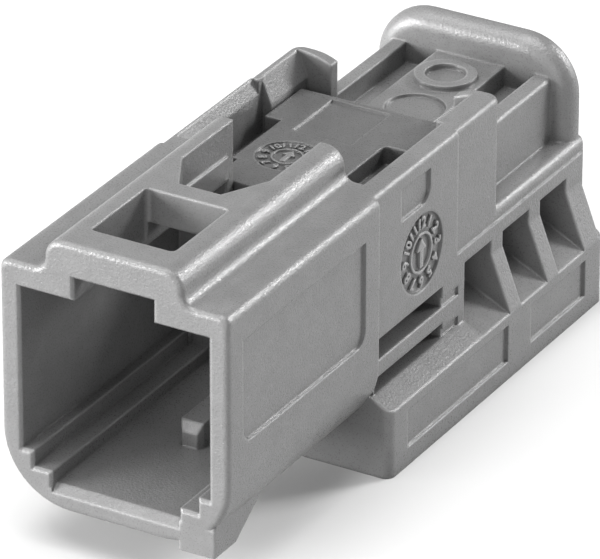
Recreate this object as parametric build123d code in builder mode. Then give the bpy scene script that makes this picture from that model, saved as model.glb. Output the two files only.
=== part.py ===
"""Moulded connector with a shrouded mouth, a press-down secondary lock and four coaxial socket contacts.

Millimetres. +Z is up, +Y runs from the mating mouth to the wire side, and +X is to the right when one
looks into the mouth. The origin is the middle of the box, at the level of the base.
"""
import os

from build123d import *

# Overall length and the stations along it, measured from the mouth
overall_length = 36.3
shroud_length = 14.35
flange_from_mouth = 14.05
wall_step_at = 22.75
end_wall_rear_at = 27.4
end_wall_thickness = 0.65
rear_plate_thickness = 1.4

# Mating shroud
shroud_width = 12.6
shroud_bottom_z = 2.3
shroud_corner_radius = 3.7
shroud_top_radius = 0.5
floor_wall = 1.2
roof_wall = 1.3
mouth_rounding = 0.3
mouth_lead_in = 0.15
floor_lead_in = 0.35
floor_lead_in_length = 0.5

# Mating cavity and its stepped bottom corners
cavity_width = 10.4
cavity_height = 10.3
cavity_past_shroud = 0.35
corner_step_width = 0.63
corner_step_height = 1.6
second_step_width = 1.02
second_step_height = 0.75

# Channel for the mate's latch, the bridge over it, and the window that the latch springs into
latch_channel_width = 4.4
latch_channel_height = 1.2
bridge_width = 7.6
bridge_wall = 1.8
bridge_top_radius = 1.0
bridge_foot_radius = 0.6
window_width = 4.6
window_length = 5.1
window_from_mouth = 1.8
window_corner_radius = 0.3

# Opening between the two arms behind the window
arm_gap = 4.9
arm_gap_from_mouth = 8.05
arm_gap_front_width = 2.3
arm_gap_taper_length = 2.45
arm_length_past_shroud = 0.95
arm_foot_ledge = 0.12

# Key rib on the cavity floor and keel under the mouth
key_width = 1.25
key_height = 1.35
key_left_x = -0.4
key_from_mouth = 6.55
key_nose_length = 0.3
key_nose_drop = 0.55
key_nose_inset = 0.2
keel_left_x = 3.55
keel_width = 1.95
keel_drop = 0.25
keel_flat_length = 2.0
keel_ramp_length = 3.3
keel_ramp_rise = 2.2

# Body behind the shroud
body_width = 12.0
wall_step = 0.1
wall_top_radius = 0.3
end_wall_gap = 7.0
end_wall_drop = 0.45
end_wall_fall_length = 1.9
end_corner_radius = 0.7

# Bay for the secondary lock; its left wall leans out towards the top, which leads the lock in
bay_floor_z = 12.0
bay_sill_height = 0.5
bay_right_x = 4.86
bay_left_x = -5.37
bay_left_top_x = -5.74
bay_left_lean_z = 14.3
bay_rear_from_mouth = 23.14
bay_rear_right_x = 4.53
bay_rear_left_x = -4.87
bay_rear_left_top_x = -5.46
bay_rear_lean_z = 13.69
bay_notch_length = 0.39

# Base flange
flange_width = 14.3
flange_edge_height = 3.65
flange_slope_rise = 0.65
flange_corner_share = 0.43

# Slots in the side walls, one above the other
wall_slot_start = 0.1
wall_slot_length = 6.85
wall_slot_depth = 1.5
upper_slot_height = 1.17
upper_slot_bottom_z = 6.0
wall_rib_height = 0.88
slot_run_out_length = 1.6
slot_run_out_height = 0.5
slot_run_out_depth = 0.12

# Pockets and slanted buttresses
pocket_start_at = 23.5
pocket_length = 2.8
buttress_thickness = 1.15
buttress_inset = 0.3
pocket_top_z = 7.5
pocket_depth = 1.6
pocket_floor_radius = 0.5
body_break_z = 8.27
rear_corner_radius = 0.4

# Wire channel behind the end walls
ledge_z = 9.0
ledge_radius = 0.45
channel_block_width = 9.3
channel_block_top_z = 12.55
channel_block_radius = 0.25
channel_wall = 0.9
gutter_floor_z = 11.4
platform_width = 3.9
platform_height = 1.1
platform_dial_radius = 1.55
platform_dial_x = 0.3
platform_dial_from_mouth = 28.6
ring_outer_radius = 1.62
ring_inner_radius = 1.05
ring_height = 0.3
ring_from_rear = 4.0

# Upright plate at the wire end
plate_width = 11.4
plate_top_z = 14.35
plate_corner_radius = 3.0
plate_front_radius = 0.9
plate_rear_radius = 0.35

# Marking fields, left bare
field_depth = 0.16
field_corner_radius = 0.8
shroud_field_length = 11.65
shroud_field_height = 5.5
shroud_field_from_mouth = 1.37
shroud_field_bottom_z = 7.85
wall_field_length = 2.9
wall_field_height = 1.7
wall_field_from_mouth = 17.05
wall_field_bottom_z = 12.6
dial_radius = 2.1
dial_from_mouth = 19.12
dial_z = 10.0
flange_field_height = 2.05
flange_field_bottom_z = 1.05
front_field_length = 10.3
front_field_from_mouth = 15.8
rear_field_length = 5.8
rear_field_from_mouth = 28.5

# Secondary lock, pressed down into the bay
lock_clearance = 0.08
lock_top_z = 13.4
lock_thickness = 1.3
lock_width = 7.7
wings_from_mouth = 22.4
lock_rear_from_mouth = 26.0
lock_field_depth = 0.12
lock_dial_radius = 1.6
lock_dial_x = -1.6
lock_dial_from_mouth = 19.1
rear_field_left_x = -2.8
rear_field_width = 3.3
rear_field_from_wings = -0.7
rear_field_margin = 0.35
tool_pocket_width = 1.5
tool_pocket_length = 4.6
tool_pocket_depth = 1.0
tool_pocket_radius = 0.35
tool_pocket_left_x = 2.0
tool_pocket_end_from_mouth = 22.5
edge_notch_depth = 0.3
edge_notch_length = 0.7
edge_notch_from_mouth = 16.9

# Blade of the lock, with wider nubs that stand behind the contacts' collars
blade_width = 0.76
blade_thickness = 1.5
blade_clearance = 0.1
blade_bottom_z = 4.0
nub_height = 1.0

# Contacts
column_pitch = 4.2
row_pitch = 4.2
lower_row_z = 5.0
contact_radius = 1.25
contact_wall = 0.22
contact_bore_clearance = 0.06
contact_set_back = 0.3
collar_radius = 1.65
collar_length = 1.0
collar_seat_at = 22.0
collar_clearance = 0.06
contact_tail_length = 5.5
core_clearance = 0.03
insulator_set_back = 0.6
centre_radius = 0.25
centre_set_back = 0.5
centre_tail_length = 1.2
sleeve_wall = 0.22
sleeve_from_collar = 2.2
sleeve_length = 5.0
bore_mouth_chamfer = 0.25

# Stations along Y
front_y = -overall_length / 2
rear_y = overall_length / 2
body_front_y = front_y + shroud_length
flange_front_y = front_y + flange_from_mouth
cavity_back_y = body_front_y + cavity_past_shroud
arm_end_y = body_front_y + arm_length_past_shroud
wall_step_y = front_y + wall_step_at
end_wall_rear_y = front_y + end_wall_rear_at
end_wall_front_y = end_wall_rear_y - end_wall_thickness
plate_front_y = rear_y - rear_plate_thickness
collar_seat_y = front_y + collar_seat_at
collar_rear_y = collar_seat_y + collar_length

# Levels along Z
cavity_floor_z = shroud_bottom_z + floor_wall
cavity_roof_z = cavity_floor_z + cavity_height
shoulder_z = cavity_roof_z + roof_wall
channel_roof_z = cavity_roof_z + latch_channel_height
bridge_top_z = channel_roof_z + bridge_wall
flange_top_z = flange_edge_height + flange_slope_rise
flange_corner_radius = flange_corner_share * (flange_width - body_width) / 2
lock_bottom_z = lock_top_z - lock_thickness
upper_row_z = lower_row_z + row_pitch
above_all_z = bridge_top_z + 1
row_levels = [lower_row_z, upper_row_z]
column_places = [-column_pitch / 2, column_pitch / 2]
sides = [-1, 1]


def across(y):
    """Plane across the connector at y, as seen from the mouth: local x is +X, local y is +Z."""
    return Plane(origin=(0, y, 0), x_dir=(1, 0, 0), z_dir=(0, -1, 0))


def along(x):
    """Plane along the connector at x: local x is +Y, local y is +Z, and its normal is +X."""
    return Plane(origin=(x, 0, 0), x_dir=(0, 1, 0), z_dir=(1, 0, 0))


def span(low, high):
    """Middle of a stretch, for placing a shape that is drawn about its centre."""
    return (low + high) / 2


def inside(low_x, high_x, low_y, high_y, low_z, high_z):
    """Test for edges and faces whose centre lies in a box."""
    def test(shape):
        middle = shape.center()
        return (low_x < middle.X < high_x) and (low_y < middle.Y < high_y) and (low_z < middle.Z < high_z)
    return test


# Housing, one moulding
with BuildPart() as housing:
    # Shroud with the bridge on its roof, in one section
    with BuildSketch(across(front_y)) as shroud_section:
        with Locations((0, span(shroud_bottom_z, shoulder_z))):
            Rectangle(shroud_width, shoulder_z - shroud_bottom_z)
        with Locations((0, span(cavity_roof_z, bridge_top_z))):
            Rectangle(bridge_width, bridge_top_z - cavity_roof_z)
        fillet(shroud_section.vertices().group_by(Axis.Y)[0], shroud_corner_radius)
        shoulder = shroud_section.vertices().filter_by(lambda v: abs(v.Y - shoulder_z) < 0.01)
        fillet(shoulder.sort_by(lambda v: abs(v.X))[-2:], shroud_top_radius)
        shoulder = shroud_section.vertices().filter_by(lambda v: abs(v.Y - shoulder_z) < 0.01)
        fillet(shoulder.sort_by(lambda v: abs(v.X))[:2], bridge_foot_radius)
        fillet(shroud_section.vertices().group_by(Axis.Y)[-1], bridge_top_radius)
    extrude(amount=-shroud_length)
    fillet(housing.faces().sort_by(Axis.Y)[0].outer_wire().edges(), mouth_rounding)

    # Body block up to the step in the walls, then the slightly narrower rear part
    with BuildSketch(across(body_front_y)) as body_section:
        with Locations((0, shoulder_z / 2)):
            Rectangle(body_width, shoulder_z)
        fillet(body_section.vertices().group_by(Axis.Y)[-1], wall_top_radius)
    extrude(amount=-(wall_step_at - shroud_length))
    with BuildPart() as rear_block:
        with BuildSketch(Plane.XY) as rear_section:
            with Locations((0, span(wall_step_y, end_wall_rear_y))):
                Rectangle(body_width - 2 * wall_step, end_wall_rear_y - wall_step_y)
            fillet(rear_section.vertices().group_by(Axis.Y)[-1], end_corner_radius)
        extrude(amount=shoulder_z)
        wall_tops = rear_block.edges().filter_by(inside(-99, 99, wall_step_y + 0.01, 99, shoulder_z - 0.01, 99))
        fillet(wall_tops, wall_top_radius)
    with BuildSketch(across(end_wall_front_y)):
        with BuildLine():
            fall_start_x = end_wall_gap / 2 + end_wall_fall_length
            fall_middle_x = end_wall_gap / 2 + end_wall_fall_length / 2
            fall_end_z = shoulder_z - end_wall_drop
            Polyline((-end_wall_gap / 2, fall_end_z), (end_wall_gap / 2, fall_end_z))
            ThreePointArc((end_wall_gap / 2, fall_end_z), (fall_middle_x, shoulder_z - end_wall_drop / 4),
                          (fall_start_x, shoulder_z))
            Polyline((fall_start_x, shoulder_z), (fall_start_x, above_all_z), (-fall_start_x, above_all_z),
                     (-fall_start_x, shoulder_z))
            ThreePointArc((-fall_start_x, shoulder_z), (-fall_middle_x, shoulder_z - end_wall_drop / 4),
                          (-end_wall_gap / 2, fall_end_z))
        make_face()
    extrude(amount=-end_wall_thickness, mode=Mode.SUBTRACT)

    # Lower body under the wire channel, with a rounded ledge
    with BuildSketch(across(wall_step_y)) as lower_body:
        with Locations((0, ledge_z / 2)):
            Rectangle(body_width - 2 * wall_step, ledge_z)
        fillet(lower_body.vertices().group_by(Axis.Y)[-1], ledge_radius)
    extrude(amount=-(overall_length - wall_step_at))
    with BuildSketch(across(wall_step_y)):
        with Locations((0, body_break_z / 2)):
            Rectangle(body_width, body_break_z)
    extrude(amount=-(overall_length - wall_step_at))

    # Block of the wire channel and the upright plate behind it
    with BuildSketch(across(end_wall_front_y)) as channel_section:
        with Locations((0, span(ledge_z, channel_block_top_z))):
            Rectangle(channel_block_width, channel_block_top_z - ledge_z)
        fillet(channel_section.vertices().group_by(Axis.Y)[-1], channel_block_radius)
    extrude(amount=-(rear_y - end_wall_front_y))
    with BuildSketch(across(plate_front_y)) as plate_section:
        with Locations((0, plate_top_z / 2)):
            Rectangle(plate_width, plate_top_z)
        fillet(plate_section.vertices().group_by(Axis.Y)[-1], plate_corner_radius)
    extrude(amount=-rear_plate_thickness)
    for edge_y, edge_radius in [(plate_front_y, plate_front_radius), (rear_y, plate_rear_radius)]:
        plate_edges = housing.edges().filter_by(inside(-99, 99, edge_y - 0.01, edge_y + 0.01,
                                                       plate_top_z - plate_corner_radius + 0.05, 99))
        fillet(plate_edges.filter_by(lambda e: e.center().Z > channel_block_top_z + 0.05), edge_radius)

    # Arms that carry the bridge back to the front of the bay
    with BuildSketch(across(body_front_y)) as arm_section:
        with Locations((0, span(cavity_roof_z, bridge_top_z))):
            Rectangle(bridge_width, bridge_top_z - cavity_roof_z)
        with Locations((0, span(cavity_roof_z, shoulder_z))):
            Rectangle(body_width - 1, roof_wall)
        fillet(arm_section.vertices().group_by(Axis.Y)[-1], bridge_top_radius)
        shoulder = arm_section.vertices().filter_by(lambda v: abs(v.Y - shoulder_z) < 0.01)
        fillet(shoulder.sort_by(lambda v: abs(v.X))[:2], bridge_foot_radius)
    extrude(amount=-arm_length_past_shroud)

    # Base flange: upright edge, then a slope up to the wall
    with BuildSketch(across(flange_front_y)):
        with BuildLine():
            Polyline((-flange_width / 2, 0), (flange_width / 2, 0), (flange_width / 2, flange_edge_height),
                     (body_width / 2, flange_top_z), (-body_width / 2, flange_top_z),
                     (-flange_width / 2, flange_edge_height), close=True)
        make_face()
    extrude(amount=-(overall_length - flange_from_mouth))
    flange_corners = housing.edges().filter_by(Axis.Z).filter_by(
        lambda e: abs(abs(e.center().X) - flange_width / 2) < 0.01)
    fillet(flange_corners, flange_corner_radius)

    # Rounded upright corners at the rear of the lower body, above the flange
    with BuildSketch(Plane.XY.offset(flange_top_z)):
        with Locations((0, rear_y - rear_corner_radius)):
            Rectangle(body_width + 1, 2 * rear_corner_radius)
        with Locations((0, rear_y - 2 * rear_corner_radius)):
            RectangleRounded(body_width, 4 * rear_corner_radius, rear_corner_radius, mode=Mode.SUBTRACT)
    extrude(amount=ledge_z - flange_top_z, mode=Mode.SUBTRACT)

    # Slanted buttresses, as one wedge a side that the pockets then divide
    wedge_start_y = front_y + pocket_start_at
    for side in sides:
        with BuildSketch(across(wedge_start_y)):
            with BuildLine():
                wedge_top_x = side * (body_width / 2 - buttress_inset)
                Polyline((wedge_top_x, pocket_top_z), (side * flange_width / 2, flange_edge_height),
                         (wedge_top_x, flange_edge_height), close=True)
            make_face()
        extrude(amount=-(rear_y - flange_corner_radius - wedge_start_y))
    pocket_step = pocket_length + buttress_thickness
    for side in sides:
        for pocket in range(3):
            pocket_y = wedge_start_y + pocket * pocket_step
            with BuildSketch(across(pocket_y)) as pocket_section:
                with BuildLine():
                    pocket_back_x = side * (body_width / 2 - pocket_depth)
                    Polyline((pocket_back_x, pocket_top_z), (side * flange_width, pocket_top_z),
                             (side * flange_width, flange_edge_height),
                             (side * flange_width / 2, flange_edge_height),
                             (pocket_back_x, flange_top_z + flange_slope_rise), close=True)
                make_face()
                back_corners = pocket_section.vertices().sort_by(lambda v: abs(v.X))[:2]
                fillet(back_corners.sort_by(Axis.Y)[0], pocket_floor_radius)
            extrude(amount=-pocket_length, mode=Mode.SUBTRACT)

    # Mating cavity with the latch channel above it and steps in its bottom corners
    with BuildSketch(across(front_y)):
        with BuildLine():
            first_step_x = cavity_width / 2 - corner_step_width
            second_step_x = first_step_x - second_step_width
            Polyline((-cavity_width / 2, cavity_roof_z), (-latch_channel_width / 2, cavity_roof_z),
                     (-latch_channel_width / 2, channel_roof_z), (latch_channel_width / 2, channel_roof_z),
                     (latch_channel_width / 2, cavity_roof_z), (cavity_width / 2, cavity_roof_z),
                     (cavity_width / 2, cavity_floor_z + corner_step_height),
                     (first_step_x, cavity_floor_z + corner_step_height),
                     (first_step_x, cavity_floor_z + second_step_height),
                     (second_step_x, cavity_floor_z + second_step_height), (second_step_x, cavity_floor_z),
                     (-second_step_x, cavity_floor_z), (-second_step_x, cavity_floor_z + second_step_height),
                     (-first_step_x, cavity_floor_z + second_step_height),
                     (-first_step_x, cavity_floor_z + corner_step_height),
                     (-cavity_width / 2, cavity_floor_z + corner_step_height), close=True)
        make_face()
    extrude(amount=-(cavity_back_y - front_y), mode=Mode.SUBTRACT)
    chamfer(housing.faces().sort_by(Axis.Y)[0].inner_wires()[0].edges(), mouth_lead_in)
    with BuildSketch(along(-second_step_x)):
        with BuildLine():
            Polyline((front_y, cavity_floor_z - floor_lead_in), (front_y, cavity_floor_z + mouth_lead_in),
                     (front_y + floor_lead_in_length, cavity_floor_z + mouth_lead_in),
                     (front_y + floor_lead_in_length, cavity_floor_z), close=True)
        make_face()
    extrude(amount=2 * second_step_x, mode=Mode.SUBTRACT)

    # Latch window, and the tapered opening between the arms
    with BuildSketch(Plane.XY.offset(cavity_roof_z)) as window:
        with Locations((0, front_y + window_from_mouth + window_length / 2)):
            Rectangle(window_width, window_length)
        fillet(window.vertices(), window_corner_radius)
    extrude(amount=above_all_z - cavity_roof_z, mode=Mode.SUBTRACT)
    gap_front_y = front_y + arm_gap_from_mouth
    gap_levels = [(cavity_roof_z, shoulder_z, arm_foot_ledge, cavity_back_y),
                  (shoulder_z, above_all_z, 0, arm_end_y + 1)]
    for low_z, high_z, ledge, gap_rear_y in gap_levels:
        with BuildSketch(Plane.XY.offset(low_z)):
            with BuildLine():
                front_x = arm_gap_front_width / 2 - ledge
                rear_x = arm_gap / 2 - ledge
                taper_end_y = gap_front_y + arm_gap_taper_length
                Polyline((-front_x, gap_front_y), (front_x, gap_front_y), (rear_x, taper_end_y),
                         (rear_x, gap_rear_y), (-rear_x, gap_rear_y), (-rear_x, taper_end_y), close=True)
            make_face()
        extrude(amount=high_z - low_z, mode=Mode.SUBTRACT)

    # Bay for the secondary lock, in three lengths, and the gap between the end walls beside the platform
    platform_top_z = gutter_floor_z + platform_height
    bay_rear_y = front_y + bay_rear_from_mouth
    bay_notch_y = bay_rear_y - bay_notch_length
    bay_lengths = [
        (arm_end_y, bay_notch_y, bay_right_x, bay_left_x, bay_left_lean_z, bay_left_top_x),
        (bay_notch_y, bay_rear_y, bay_right_x, bay_left_x, bay_left_lean_z, bay_left_x),
        (bay_rear_y, end_wall_front_y, bay_rear_right_x, bay_rear_left_x, bay_rear_lean_z, bay_rear_left_top_x)]
    for start_y, end_y, right_x, left_x, lean_z, left_top_x in bay_lengths:
        with BuildSketch(across(start_y)):
            with BuildLine():
                Polyline((left_x, bay_floor_z), (right_x, bay_floor_z), (right_x, above_all_z),
                         (left_top_x, above_all_z), (left_top_x, shoulder_z), (left_x, lean_z), close=True)
            make_face()
        extrude(amount=-(end_y - start_y), mode=Mode.SUBTRACT)
    with BuildSketch(Plane.XY.offset(bay_floor_z)):
        with Locations((0, span(end_wall_front_y, end_wall_rear_y))):
            Rectangle(end_wall_gap, end_wall_thickness)
            Rectangle(platform_width, end_wall_thickness, mode=Mode.SUBTRACT)
    extrude(amount=above_all_z - bay_floor_z, mode=Mode.SUBTRACT)
    with BuildSketch(Plane.XY.offset(bay_floor_z + bay_sill_height)):
        with Locations((0, span(cavity_back_y, arm_end_y))):
            Rectangle(arm_gap, arm_end_y - cavity_back_y)
    extrude(amount=above_all_z - bay_floor_z - bay_sill_height, mode=Mode.SUBTRACT)

    # Wire channel: two gutters beside a raised platform with a sunk disc and a ring
    with BuildSketch(Plane.XY.offset(gutter_floor_z)):
        with Locations((0, span(end_wall_rear_y, plate_front_y))):
            Rectangle(channel_block_width - 2 * channel_wall, plate_front_y - end_wall_rear_y)
            Rectangle(platform_width, plate_front_y - end_wall_rear_y, mode=Mode.SUBTRACT)
    extrude(amount=above_all_z - gutter_floor_z, mode=Mode.SUBTRACT)
    with BuildSketch(Plane.XY.offset(platform_top_z)):
        with Locations((0, span(end_wall_front_y, plate_front_y))):
            Rectangle(platform_width, plate_front_y - end_wall_front_y)
    extrude(amount=above_all_z - platform_top_z, mode=Mode.SUBTRACT)
    with BuildSketch(Plane.XY.offset(platform_top_z)):
        with Locations((platform_dial_x, front_y + platform_dial_from_mouth)):
            Circle(platform_dial_radius)
    extrude(amount=-field_depth, mode=Mode.SUBTRACT)
    with BuildSketch(Plane.XY.offset(platform_top_z)):
        with Locations((0, rear_y - ring_from_rear)):
            Circle(ring_outer_radius)
            Circle(ring_inner_radius, mode=Mode.SUBTRACT)
    extrude(amount=ring_height)

    # Slots in the side walls, with a rib between them
    for side in sides:
        slot_middle_y = body_front_y + wall_slot_start + wall_slot_length / 2
        lower_slot_top_z = upper_slot_bottom_z - wall_rib_height
        slot_levels = [(upper_slot_bottom_z, upper_slot_bottom_z + upper_slot_height),
                       (flange_top_z, lower_slot_top_z)]
        for slot_bottom_z, slot_top_z in slot_levels:
            with BuildSketch(along(side * body_width / 2)):
                with Locations((slot_middle_y, span(slot_bottom_z, slot_top_z))):
                    Rectangle(wall_slot_length, slot_top_z - slot_bottom_z)
            extrude(amount=-side * wall_slot_depth, mode=Mode.SUBTRACT)
            with BuildSketch(along(side * body_width / 2)):
                run_out_middle_y = slot_middle_y + (wall_slot_length + slot_run_out_length) / 2
                with Locations((run_out_middle_y, slot_bottom_z + slot_run_out_height / 2)):
                    Rectangle(slot_run_out_length, slot_run_out_height)
            extrude(amount=-side * slot_run_out_depth, mode=Mode.SUBTRACT)

    # Key rib on the cavity floor, with a nose bevelled on its top and both sides
    key_top_z = cavity_floor_z + key_height
    key_front_y = front_y + key_from_mouth
    key_right_x = key_left_x + key_width
    with BuildPart() as key_rib:
        with BuildSketch(along(key_left_x)):
            with BuildLine():
                Polyline((key_front_y, cavity_floor_z), (key_front_y, key_top_z - key_nose_drop),
                         (key_front_y + key_nose_length, key_top_z), (cavity_back_y, key_top_z),
                         (cavity_back_y, cavity_floor_z), close=True)
            make_face()
        extrude(amount=key_width)
        with BuildSketch(Plane.XY.offset(cavity_floor_z)):
            with BuildLine():
                Polyline((key_left_x + key_nose_inset, key_front_y),
                         (key_right_x - key_nose_inset, key_front_y),
                         (key_right_x, key_front_y + key_nose_length), (key_right_x, cavity_back_y),
                         (key_left_x, cavity_back_y), (key_left_x, key_front_y + key_nose_length), close=True)
            make_face()
        extrude(amount=key_height, mode=Mode.INTERSECT)

    # Keel under the right side of the mouth, flat and then ramped up into the shroud
    keel_bottom_z = shroud_bottom_z - keel_drop
    keel_top_z = cavity_floor_z + second_step_height - mouth_lead_in
    with BuildSketch(along(keel_left_x)):
        with BuildLine():
            Polyline((front_y, keel_bottom_z), (front_y + keel_flat_length, keel_bottom_z),
                     (front_y + keel_flat_length + keel_ramp_length, keel_bottom_z + keel_ramp_rise),
                     (front_y + mouth_rounding, keel_bottom_z + keel_ramp_rise),
                     (front_y + mouth_rounding, keel_top_z - 0.2), (front_y, keel_top_z - 0.6), close=True)
        make_face()
    extrude(amount=keel_width)

    # Bores for the contacts: narrow in front of the collar seat, wide behind it
    for row_z in row_levels:
        for column_x in column_places:
            with BuildSketch(across(cavity_back_y)):
                with Locations((column_x, row_z)):
                    Circle(contact_radius + contact_bore_clearance)
            extrude(amount=-(collar_seat_y - cavity_back_y), mode=Mode.SUBTRACT)
            with BuildSketch(across(collar_seat_y)):
                with Locations((column_x, row_z)):
                    Circle(collar_radius + collar_clearance)
            extrude(amount=-(rear_y - collar_seat_y), mode=Mode.SUBTRACT)
    bore_rims = housing.faces().sort_by(Axis.Y)[-1].inner_wires()
    chamfer([rim.edges()[0] for rim in bore_rims], bore_mouth_chamfer)

    # Slot for the blade of the lock, down between the two columns of contacts
    nub_width = column_pitch - 2 * (contact_radius + blade_clearance)
    blade_middle_y = collar_rear_y + blade_clearance + blade_thickness / 2
    with BuildSketch(Plane.XY.offset(bay_floor_z)):
        with Locations((0, blade_middle_y)):
            Rectangle(nub_width + 2 * blade_clearance, blade_thickness + 2 * blade_clearance)
    extrude(amount=-(bay_floor_z - blade_bottom_z + 2 * blade_clearance), mode=Mode.SUBTRACT)

    # Bare marking fields on the right side, and the sunk disc of the date dial
    with BuildSketch(along(shroud_width / 2)) as shroud_field:
        with Locations((front_y + shroud_field_from_mouth + shroud_field_length / 2,
                        shroud_field_bottom_z + shroud_field_height / 2)):
            Rectangle(shroud_field_length, shroud_field_height)
        fillet(shroud_field.vertices().group_by(Axis.Y)[0], field_corner_radius)
    extrude(amount=-field_depth, mode=Mode.SUBTRACT)
    with BuildSketch(along(body_width / 2)) as wall_field:
        with Locations((front_y + wall_field_from_mouth + wall_field_length / 2,
                        wall_field_bottom_z + wall_field_height / 2)):
            Rectangle(wall_field_length, wall_field_height)
        fillet(wall_field.vertices().group_by(Axis.Y)[0].sort_by(Axis.X)[-1:], field_corner_radius)
        with Locations((front_y + dial_from_mouth, dial_z)):
            Circle(dial_radius)
    extrude(amount=-field_depth, mode=Mode.SUBTRACT)
    with BuildSketch(along(flange_width / 2)):
        flange_field_z = flange_field_bottom_z + flange_field_height / 2
        with Locations((front_y + front_field_from_mouth + front_field_length / 2, flange_field_z)):
            Rectangle(front_field_length, flange_field_height)
        with Locations((front_y + rear_field_from_mouth + rear_field_length / 2, flange_field_z)):
            Rectangle(rear_field_length, flange_field_height)
    extrude(amount=-field_depth, mode=Mode.SUBTRACT)

housing.part.label = "housing"

# Secondary lock: a plate with two wings at its rear, and a blade that goes down behind the collars
lock_front_y = arm_end_y + lock_clearance
wings_y = front_y + wings_from_mouth
lock_rear_y = front_y + lock_rear_from_mouth
wing_left_x = bay_rear_left_x + lock_clearance
wing_right_x = bay_rear_right_x - lock_clearance
with BuildPart() as secondary_lock:
    with BuildSketch(Plane.XY.offset(lock_bottom_z)):
        with Locations((0, span(lock_front_y, lock_rear_y))):
            Rectangle(lock_width, lock_rear_y - lock_front_y)
        with Locations((span(wing_left_x, wing_right_x), span(wings_y, lock_rear_y))):
            Rectangle(wing_right_x - wing_left_x, lock_rear_y - wings_y)
    extrude(amount=lock_thickness)

    # Deep pocket for the tool that lifts the lock
    with BuildSketch(Plane.XY.offset(lock_top_z)) as tool_pocket:
        pocket_end_y = front_y + tool_pocket_end_from_mouth
        with Locations((tool_pocket_left_x + tool_pocket_width / 2, pocket_end_y - tool_pocket_length / 2)):
            Rectangle(tool_pocket_width, tool_pocket_length)
        fillet(tool_pocket.vertices().group_by(Axis.Y)[-1], tool_pocket_radius)
    extrude(amount=-tool_pocket_depth, mode=Mode.SUBTRACT)

    # Sunk disc of the date dial and the sunk marking field behind it
    with BuildSketch(Plane.XY.offset(lock_top_z)):
        with Locations((lock_dial_x, front_y + lock_dial_from_mouth)):
            Circle(lock_dial_radius)
        rear_field_start_y = wings_y + rear_field_from_wings
        rear_field_end_y = lock_rear_y - rear_field_margin
        with Locations((rear_field_left_x + rear_field_width / 2, span(rear_field_start_y, rear_field_end_y))):
            Rectangle(rear_field_width, rear_field_end_y - rear_field_start_y)
    extrude(amount=-lock_field_depth, mode=Mode.SUBTRACT)

    # Small notch in the left edge
    with BuildSketch(Plane.XY.offset(lock_bottom_z)):
        with Locations(((edge_notch_depth - lock_width) / 2,
                        front_y + edge_notch_from_mouth + edge_notch_length / 2)):
            Rectangle(edge_notch_depth, edge_notch_length)
    extrude(amount=lock_thickness, mode=Mode.SUBTRACT)

    # Blade, and its nubs behind the collars of both rows
    with BuildSketch(Plane.XY.offset(blade_bottom_z)):
        with Locations((0, blade_middle_y)):
            Rectangle(blade_width, blade_thickness)
    extrude(amount=lock_bottom_z - blade_bottom_z)
    for row_z in row_levels:
        with BuildSketch(Plane.XY.offset(row_z - nub_height / 2)):
            with Locations((0, blade_middle_y)):
                Rectangle(nub_width, blade_thickness)
        extrude(amount=nub_height)

secondary_lock.part.label = "secondary_lock"

# Contacts, each turned about its own axis along Y; profiles are drawn as (radius, y)
nose_y = cavity_back_y + contact_set_back
tail_end_y = collar_rear_y + contact_tail_length
inner_radius = contact_radius - contact_wall
sleeve_inner_radius = contact_radius + core_clearance
sleeve_front_y = collar_rear_y + sleeve_from_collar
insulator_front_y = nose_y + insulator_set_back
insulator_rear_y = tail_end_y - contact_wall
centre_front_y = insulator_front_y + centre_set_back
centre_rear_y = insulator_rear_y + centre_tail_length


def turned(profile):
    """Revolve a closed outline of (radius, y) points about the Y axis through the origin."""
    with BuildPart() as body:
        with BuildSketch(Plane.XY):
            with BuildLine():
                Polyline(*profile, close=True)
            make_face()
        revolve(axis=Axis.Y)
    return body.part


outer_conductor = turned([
    (inner_radius, nose_y), (contact_radius, nose_y), (contact_radius, collar_seat_y),
    (collar_radius, collar_seat_y), (collar_radius, collar_rear_y), (contact_radius, collar_rear_y),
    (contact_radius, tail_end_y), (inner_radius, tail_end_y)])
insulator = turned([
    (centre_radius + core_clearance, insulator_front_y), (inner_radius - core_clearance, insulator_front_y),
    (inner_radius - core_clearance, insulator_rear_y), (centre_radius + core_clearance, insulator_rear_y)])
centre_contact = turned([
    (0, centre_front_y), (centre_radius, centre_front_y), (centre_radius, centre_rear_y), (0, centre_rear_y)])
crimp_sleeve = turned([
    (sleeve_inner_radius, sleeve_front_y), (sleeve_inner_radius + sleeve_wall, sleeve_front_y),
    (sleeve_inner_radius + sleeve_wall, sleeve_front_y + sleeve_length),
    (sleeve_inner_radius, sleeve_front_y + sleeve_length)])

# Write every piece
os.makedirs("parts", exist_ok=True)
export_step(housing.part, "parts/housing.step")
export_step(secondary_lock.part, "parts/secondary_lock.step")
contact_pieces = {"outer_conductor": outer_conductor, "insulator": insulator,
                  "centre_contact": centre_contact, "crimp_sleeve": crimp_sleeve}
number = 0
for row_z in row_levels:
    for column_x in column_places:
        number += 1
        for kind, shape in contact_pieces.items():
            piece = shape.moved(Location((column_x, 0, row_z)))
            piece.label = f"{kind}_{number}"
            export_step(piece, f"parts/{kind}_{number}.step")
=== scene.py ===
"""Looks of a moulded coaxial connector: plastics, plated contacts, date dials, floor, lights, camera."""
import math

import bmesh
import bpy
from mathutils import Matrix, Vector


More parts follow.
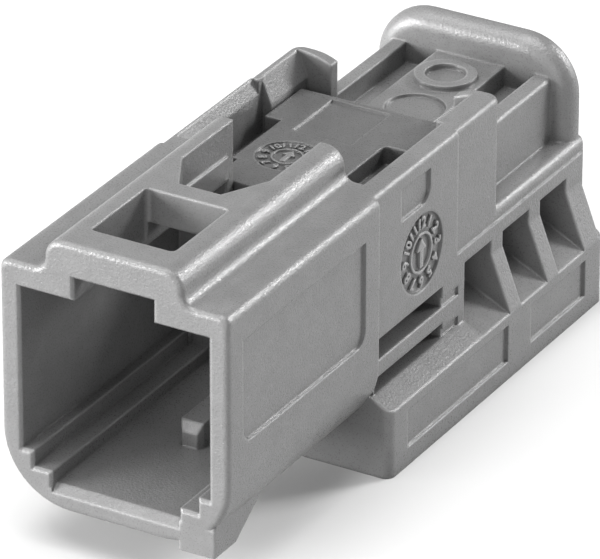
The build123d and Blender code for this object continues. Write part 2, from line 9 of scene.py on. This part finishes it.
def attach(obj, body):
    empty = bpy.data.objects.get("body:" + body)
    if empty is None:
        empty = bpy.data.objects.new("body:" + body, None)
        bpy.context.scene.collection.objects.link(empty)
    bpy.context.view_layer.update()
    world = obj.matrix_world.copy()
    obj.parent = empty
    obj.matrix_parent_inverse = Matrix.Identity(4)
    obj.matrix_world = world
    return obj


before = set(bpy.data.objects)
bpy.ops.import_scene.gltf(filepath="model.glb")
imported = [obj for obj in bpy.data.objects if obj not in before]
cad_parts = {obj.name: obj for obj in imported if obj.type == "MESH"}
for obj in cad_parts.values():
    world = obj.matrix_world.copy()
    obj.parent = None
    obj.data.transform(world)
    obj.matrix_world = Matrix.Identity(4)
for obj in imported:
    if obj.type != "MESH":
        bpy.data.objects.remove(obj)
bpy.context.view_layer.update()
mm = 0.001

# Camera, at the photograph's angle
camera_azimuth = 29.957
camera_elevation = 27.527
camera_roll = 0.110
camera_distance = 329.03 * mm
camera_aim = Vector((6.984, -12.669, 14.932)) * mm
camera_lens = 420
camera_sensor = 36
camera_clip_start = 0.01

# Light: strengths are what a white face turned straight to the light would show
sky_strength = 0.34
key_direction = (-0.75, -0.65, 0.12)
key_strength = 3.9
key_size = 0.35
top_direction = (-0.10, -0.15, 1.0)
top_strength = 1.55
top_size = 0.45
rim_direction = (0.50, 0.76, 0.47)
rim_strength = 0.95
rim_size = 0.16
side_direction = (0.63, 0.75, 0.16)
side_strength = 0.20
side_size = 0.12
fill_direction = (0.45, -0.80, 0.25)
fill_strength = 0.35
fill_size = 0.30
light_distance = 0.6

# Floor, faintly cloudy
floor_half = 1.5
floor_grey = 0.50
floor_grey_change = 0.01
floor_cloud_size = 20 * mm
floor_roughness = 0.9

# Plastics, as linear grey
housing_grey = 0.118
lock_grey = 0.075
# Dial marks: lighter copies of the housing and lock greys, a painted highlight for the lit relief
relief_painted_lit_grey = 0.165
lock_relief_painted_lit_grey = 0.12
insulator_grey = 0.55
insulator_grain = 0.4

# Surface of the plastics: mottled tone, glossy flecks and spark-eroded grain
mottle_size = 1.1 * mm
mottle_change = 0.12
fleck_size = 0.08 * mm
glossy_roughness = 0.22
dull_roughness = 0.52
spark_size = 0.13 * mm
spark_depth = 0.029 * mm
plastic_specular = 0.55

# Edges and hollows: edges are shaded round and painted paler, partly as worn edges and partly as a painted
# highlight; crevices are darker with painted shade; and hollows have less grain
shade_round = 0.22 * mm
worn_edge_and_highlight_lift = 1.7
edge_reach = 0.6 * mm
edge_turn_range = (0.99, 0.86)
edge_room_range = (0.80, 0.97)
crevice_reach = 1.8 * mm
painted_crevice_shade = 0.45
crevice_room_range = (0.10, 0.75)
polish_reach = 8 * mm
polish_room_range = (0.45, 0.95)
shading_samples = 6

# Plated metals: colour and roughness, and what varies over the surface
tin_colour = (0.62, 0.61, 0.58)
tin_roughness = 0.38
gold_colour = (0.83, 0.62, 0.29)
gold_roughness = 0.28
nickel_colour = (0.55, 0.54, 0.50)
nickel_roughness = 0.33
tarnish_size = 0.8 * mm
tarnish_shade = 0.86
gloss_size = 0.2 * mm
gloss_change = 0.08
pit_size = 0.06 * mm
pit_depth = 0.005 * mm
pit_strength = 0.3

# Middle of a noise's values, which the looks spread over their own range
noise_middle = (0.3, 0.7)

# Sockets of Blender's Mix node that work on colours
mix_factor = 0
mix_first = 6
mix_second = 7
mix_result = 2

# Contacts
contact_count = 4

# Date dials: centre of the sunk disc's floor, radius, and height of the marks
side_dial_centre = Vector((5.84, 0.97, 10.0)) * mm
side_dial_radius = 2.1 * mm
side_mark_height = 0.15 * mm
lock_dial_centre = Vector((-1.6, 0.95, 13.28)) * mm
lock_dial_radius = 1.6 * mm
lock_mark_height = 0.11 * mm

# Marks of a date dial, as shares of its radius unless the name says otherwise
dial_numbers = 12
number_place = 0.75
number_size = 0.40
number_boldness_of_size = 0.035
number_curve_steps = 3
ring_inner = 0.46
ring_outer = 0.52
ring_steps = 64
arrow_shaft = 0.08
arrow_head = 0.22
arrow_reach = 0.38
arrow_neck_of_reach = 0.2


def node_tree(material):
    """Empty node tree of a material, with a Principled shader on its output."""
    material.use_nodes = True
    tree = material.node_tree
    tree.nodes.clear()
    output = tree.nodes.new("ShaderNodeOutputMaterial")
    shader = tree.nodes.new("ShaderNodeBsdfPrincipled")
    tree.links.new(shader.outputs["BSDF"], output.inputs["Surface"])
    return tree, shader


def noise(tree, size, detail=2.0, roughness=0.5):
    """Noise whose blobs are about size across, in the part's own coordinates."""
    place = tree.nodes.new("ShaderNodeTexCoord")
    node = tree.nodes.new("ShaderNodeTexNoise")
    node.inputs["Scale"].default_value = 1 / size
    node.inputs["Detail"].default_value = detail
    node.inputs["Roughness"].default_value = roughness
    tree.links.new(place.outputs["Object"], node.inputs["Vector"])
    return node.outputs["Fac"]


def spread(tree, value, span, low=0.0, high=1.0):
    """Map a value that goes from one end of a span to the other to the range low to high, and clamp it."""
    start, end = span
    node = tree.nodes.new("ShaderNodeMapRange")
    node.inputs["From Min"].default_value = start
    node.inputs["From Max"].default_value = end
    node.inputs["To Min"].default_value = low
    node.inputs["To Max"].default_value = high
    tree.links.new(value, node.inputs["Value"])
    return node.outputs["Result"]


def product(tree, first, second):
    """First value times the second."""
    node = tree.nodes.new("ShaderNodeMath")
    node.operation = "MULTIPLY"
    tree.links.new(first, node.inputs[0])
    tree.links.new(second, node.inputs[1])
    return node.outputs["Value"]


def bump(tree, height, depth, normal=None):
    """Bump node of a given depth, laid over another normal if there is one."""
    node = tree.nodes.new("ShaderNodeBump")
    node.inputs["Distance"].default_value = depth
    tree.links.new(height, node.inputs["Height"])
    if normal:
        tree.links.new(normal, node.inputs["Normal"])
    return node


def grey_colour(level):
    """Opaque grey of a level."""
    return (level, level, level, 1)


def blend(tree, factor, first, second):
    """Colour that goes from first to second, each of them a colour or the output of another node."""
    node = tree.nodes.new("ShaderNodeMix")
    node.data_type = "RGBA"
    tree.links.new(factor, node.inputs[mix_factor])
    for socket, colour in ((mix_first, first), (mix_second, second)):
        if isinstance(colour, bpy.types.NodeSocket):
            tree.links.new(colour, node.inputs[socket])
        else:
            node.inputs[socket].default_value = colour
    return node.outputs[mix_result]


def room(tree, reach):
    """1 where nothing stands within reach of the surface, less in corners and crevices."""
    node = tree.nodes.new("ShaderNodeAmbientOcclusion")
    node.samples = shading_samples
    node.inputs["Distance"].default_value = reach
    return node.outputs["AO"]


def outer_edges(tree, rounded_normal):
    """1 on outer edges, where the rounded normal leaves the face's and there is room, and 0 elsewhere."""
    face = tree.nodes.new("ShaderNodeNewGeometry")
    turn = tree.nodes.new("ShaderNodeVectorMath")
    turn.operation = "DOT_PRODUCT"
    tree.links.new(rounded_normal, turn.inputs[0])
    tree.links.new(face.outputs["Normal"], turn.inputs[1])
    turned = spread(tree, turn.outputs["Value"], edge_turn_range)
    free = spread(tree, room(tree, edge_reach), edge_room_range)
    return product(tree, turned, free)


def moulded_plastic(name, grey, grain=1.0):
    """Glass-filled plastic with a spark-eroded surface, mottled faces, softly rounded edges painted paler
    (partly worn edges, partly a painted highlight) and painted shade in crevices.
    """
    material = bpy.data.materials.new(name)
    tree, shader = node_tree(material)
    rounded = tree.nodes.new("ShaderNodeBevel")
    rounded.samples = shading_samples
    rounded.inputs["Radius"].default_value = shade_round
    edges = outer_edges(tree, rounded.outputs["Normal"])
    mottle = spread(tree, noise(tree, mottle_size, detail=7, roughness=0.8), noise_middle)
    darker = grey_colour(grey * (1 - mottle_change))
    lighter = grey_colour(grey * (1 + mottle_change))
    faces = blend(tree, mottle, darker, lighter)
    # Outer edges painted paler: partly pale worn edges, partly a painted highlight
    tone = blend(tree, edges, faces, grey_colour(grey * worn_edge_and_highlight_lift))
    # Painted shade: the colour darkens in corners and crevices where little light reaches
    openness = spread(tree, room(tree, crevice_reach), crevice_room_range)
    shaded = blend(tree, openness, grey_colour(grey * painted_crevice_shade), tone)
    tree.links.new(shaded, shader.inputs["Base Color"])
    flecks = spread(tree, noise(tree, fleck_size, detail=1), noise_middle, glossy_roughness, dull_roughness)
    tree.links.new(flecks, shader.inputs["Roughness"])
    sparks = noise(tree, spark_size, detail=2, roughness=0.6)
    rough = bump(tree, sparks, spark_depth * grain, rounded.outputs["Normal"])
    grain_strength = spread(tree, room(tree, polish_reach), polish_room_range)
    tree.links.new(grain_strength, rough.inputs["Strength"])
    tree.links.new(rough.outputs["Normal"], shader.inputs["Normal"])
    shader.inputs["Specular IOR Level"].default_value = plastic_specular
    return material


def plated_metal(name, colour, roughness):
    """Plated metal with faint tarnish, small differences in gloss and very fine pits."""
    material = bpy.data.materials.new(name)
    tree, shader = node_tree(material)
    shader.inputs["Metallic"].default_value = 1
    tarnished = (*[channel * tarnish_shade for channel in colour], 1)
    clean = spread(tree, noise(tree, tarnish_size, detail=4), noise_middle)
    tree.links.new(blend(tree, clean, tarnished, (*colour, 1)), shader.inputs["Base Color"])
    patches = noise(tree, gloss_size)
    gloss = spread(tree, patches, noise_middle, roughness - gloss_change, roughness + gloss_change)
    tree.links.new(gloss, shader.inputs["Roughness"])
    pits = bump(tree, noise(tree, pit_size, detail=2), pit_depth)
    pits.inputs["Strength"].default_value = pit_strength
    tree.links.new(pits.outputs["Normal"], shader.inputs["Normal"])
    return material


def floor_paper():
    """Pale matt paper with hardly visible clouds."""
    material = bpy.data.materials.new("floor_paper")
    tree, shader = node_tree(material)
    clouds = spread(tree, noise(tree, floor_cloud_size), noise_middle)
    tone = blend(tree, clouds, grey_colour(floor_grey - floor_grey_change), grey_colour(floor_grey))
    tree.links.new(tone, shader.inputs["Base Color"])
    shader.inputs["Roughness"].default_value = floor_roughness
    return material


def dress(obj, material):
    """Give a CAD piece its material."""
    obj.data.materials.clear()
    obj.data.materials.append(material)


def raised(bm, outline, height):
    """Raise a closed outline of (u, v) points into a low mark."""
    low = [bm.verts.new((u, v, 0)) for u, v in outline]
    high = [bm.verts.new((u, v, height)) for u, v in outline]
    bm.faces.new(high)
    for i in range(len(outline)):
        j = (i + 1) % len(outline)
        bm.faces.new((low[i], low[j], high[j], high[i]))


def raised_ring(bm, inner, outer, height):
    """Raise a thin ring."""
    angles = [2 * math.pi * i / ring_steps for i in range(ring_steps)]
    rings = []
    for radius, level in [(outer, 0), (outer, height), (inner, height), (inner, 0)]:
        rings.append([bm.verts.new((radius * math.cos(angle), radius * math.sin(angle), level))
                      for angle in angles])
    for lower, upper in zip(rings, rings[1:]):
        for i in range(ring_steps):
            j = (i + 1) % ring_steps
            bm.faces.new((lower[i], lower[j], upper[j], upper[i]))


def raised_arrow(bm, radius, height):
    """Raise an arrow that points to the dial's top."""
    shaft = radius * arrow_shaft
    head = radius * arrow_head
    reach = radius * arrow_reach
    neck = reach * arrow_neck_of_reach
    outline = [(-shaft, -reach), (shaft, -reach), (shaft, neck), (head, neck),
               (0, reach), (-head, neck), (-shaft, neck)]
    raised(bm, outline, height)


def raised_number(bm, text, size, place, turn, height):
    """Raise a number in Blender's own font, centred on place and turned about the dial's axis."""
    curve = bpy.data.curves.new("number", "FONT")
    curve.body = text
    curve.size = size
    curve.align_x = "CENTER"
    curve.align_y = "CENTER"
    curve.extrude = height / 2
    curve.offset = size * number_boldness_of_size
    curve.resolution_u = number_curve_steps
    carrier = bpy.data.objects.new("number", curve)
    bpy.context.scene.collection.objects.link(carrier)
    bpy.context.view_layer.update()
    shape = bpy.data.meshes.new_from_object(carrier.evaluated_get(bpy.context.evaluated_depsgraph_get()))
    shape.transform(Matrix.Translation((*place, height / 2)) @ Matrix.Rotation(turn, 4, "Z"))
    bm.from_mesh(shape)
    bpy.data.objects.remove(carrier)
    bpy.data.curves.remove(curve)
    bpy.data.meshes.remove(shape)


def dial_marks(name, body, material, centre, u_axis, v_axis, radius, height):
    """Generic date dial: plain numbers, a ring and an arrow, raised on a disc in the plane of two axes."""
    bm = bmesh.new()
    raised_ring(bm, radius * ring_inner, radius * ring_outer, height)
    for number in range(1, dial_numbers + 1):
        turn = -2 * math.pi * number / dial_numbers
        place = (-math.sin(turn) * radius * number_place, math.cos(turn) * radius * number_place)
        raised_number(bm, str(number), radius * number_size, place, turn, height)
    raised_arrow(bm, radius, height)
    mesh = bpy.data.meshes.new(name)
    bm.to_mesh(mesh)
    bm.free()
    normal = u_axis.cross(v_axis)
    turn_to_face = Matrix((u_axis, v_axis, normal)).transposed().to_4x4()
    mesh.transform(Matrix.Translation(centre) @ turn_to_face)
    mesh.materials.append(material)
    marks = bpy.data.objects.new(name, mesh)
    bpy.context.scene.collection.objects.link(marks)
    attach(marks, body)


def area_light(name, direction, strength, size):
    """Square area light that looks at the camera's aim point from a direction."""
    light = bpy.data.lights.new(name, "AREA")
    light.energy = strength * math.pi ** 2 * light_distance ** 2
    light.size = size
    lamp = bpy.data.objects.new(name, light)
    way = Vector(direction).normalized()
    lamp.location = camera_aim + way * light_distance
    lamp.rotation_euler = way.to_track_quat("Z", "Y").to_euler()
    bpy.context.scene.collection.objects.link(lamp)


# Materials
housing_plastic = moulded_plastic("housing_plastic", housing_grey)
lock_plastic = moulded_plastic("lock_plastic", lock_grey)
# Lighter copies of the two plastics for the dial marks: painted highlight
housing_relief_painted_lit = moulded_plastic("housing_relief_painted_lit", relief_painted_lit_grey)
lock_relief_painted_lit = moulded_plastic("lock_relief_painted_lit", lock_relief_painted_lit_grey)
tin_plating = plated_metal("tin_plating", tin_colour, tin_roughness)
gold_plating = plated_metal("gold_plating", gold_colour, gold_roughness)
nickel_plating = plated_metal("nickel_plating", nickel_colour, nickel_roughness)
insulator_plastic = moulded_plastic("insulator_plastic", insulator_grey, insulator_grain)

# CAD pieces
node_looks = {"housing": housing_plastic, "secondary_lock": lock_plastic}
contact_looks = {"outer_conductor": tin_plating, "insulator": insulator_plastic,
                 "centre_contact": gold_plating, "crimp_sleeve": nickel_plating}
for kind, material in contact_looks.items():
    for number in range(1, contact_count + 1):
        node_looks[f"{kind}_{number}"] = material
for node, material in node_looks.items():
    dress(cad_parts[node], material)

# Date dials
dial_marks("side_dial_marks", "housing_body", housing_relief_painted_lit, side_dial_centre,
           Vector((0, 1, 0)), Vector((0, 0, 1)), side_dial_radius, side_mark_height)
dial_marks("lock_dial_marks", "lock", lock_relief_painted_lit, lock_dial_centre,
           Vector((1, 0, 0)), Vector((0, 1, 0)), lock_dial_radius, lock_mark_height)

# Floor
floor_mesh = bpy.data.meshes.new("floor")
floor_corners = [(-floor_half, -floor_half, 0), (floor_half, -floor_half, 0),
                 (floor_half, floor_half, 0), (-floor_half, floor_half, 0)]
floor_mesh.from_pydata(floor_corners, [], [(0, 1, 2, 3)])
floor_mesh.materials.append(floor_paper())
floor = bpy.data.objects.new("floor", floor_mesh)
bpy.context.scene.collection.objects.link(floor)

# Lights
area_light("key", key_direction, key_strength, key_size)
area_light("top", top_direction, top_strength, top_size)
area_light("rim", rim_direction, rim_strength, rim_size)
area_light("side", side_direction, side_strength, side_size)
area_light("fill", fill_direction, fill_strength, fill_size)
world = bpy.data.worlds.new("studio")
bpy.context.scene.world = world
world.use_nodes = True
sky = world.node_tree.nodes["Background"]
sky.inputs["Color"].default_value = grey_colour(1)
sky.inputs["Strength"].default_value = sky_strength

# Camera
camera_data = bpy.data.cameras.new("camera")
camera_data.lens = camera_lens
camera_data.sensor_width = camera_sensor
camera_data.sensor_fit = "HORIZONTAL"
camera_data.clip_start = camera_clip_start
camera = bpy.data.objects.new("camera", camera_data)
bpy.context.scene.collection.objects.link(camera)
azimuth = Matrix.Rotation(math.radians(camera_azimuth), 4, "Z")
tilt = Matrix.Rotation(math.radians(90 - camera_elevation), 4, "X")
roll = Matrix.Rotation(math.radians(camera_roll), 4, "Z")
stand = azimuth @ tilt @ roll
camera.matrix_world = Matrix.Translation(camera_aim) @ stand @ Matrix.Translation((0, 0, camera_distance))
bpy.context.scene.camera = camera
bpy.context.scene.view_settings.view_transform = "Standard"
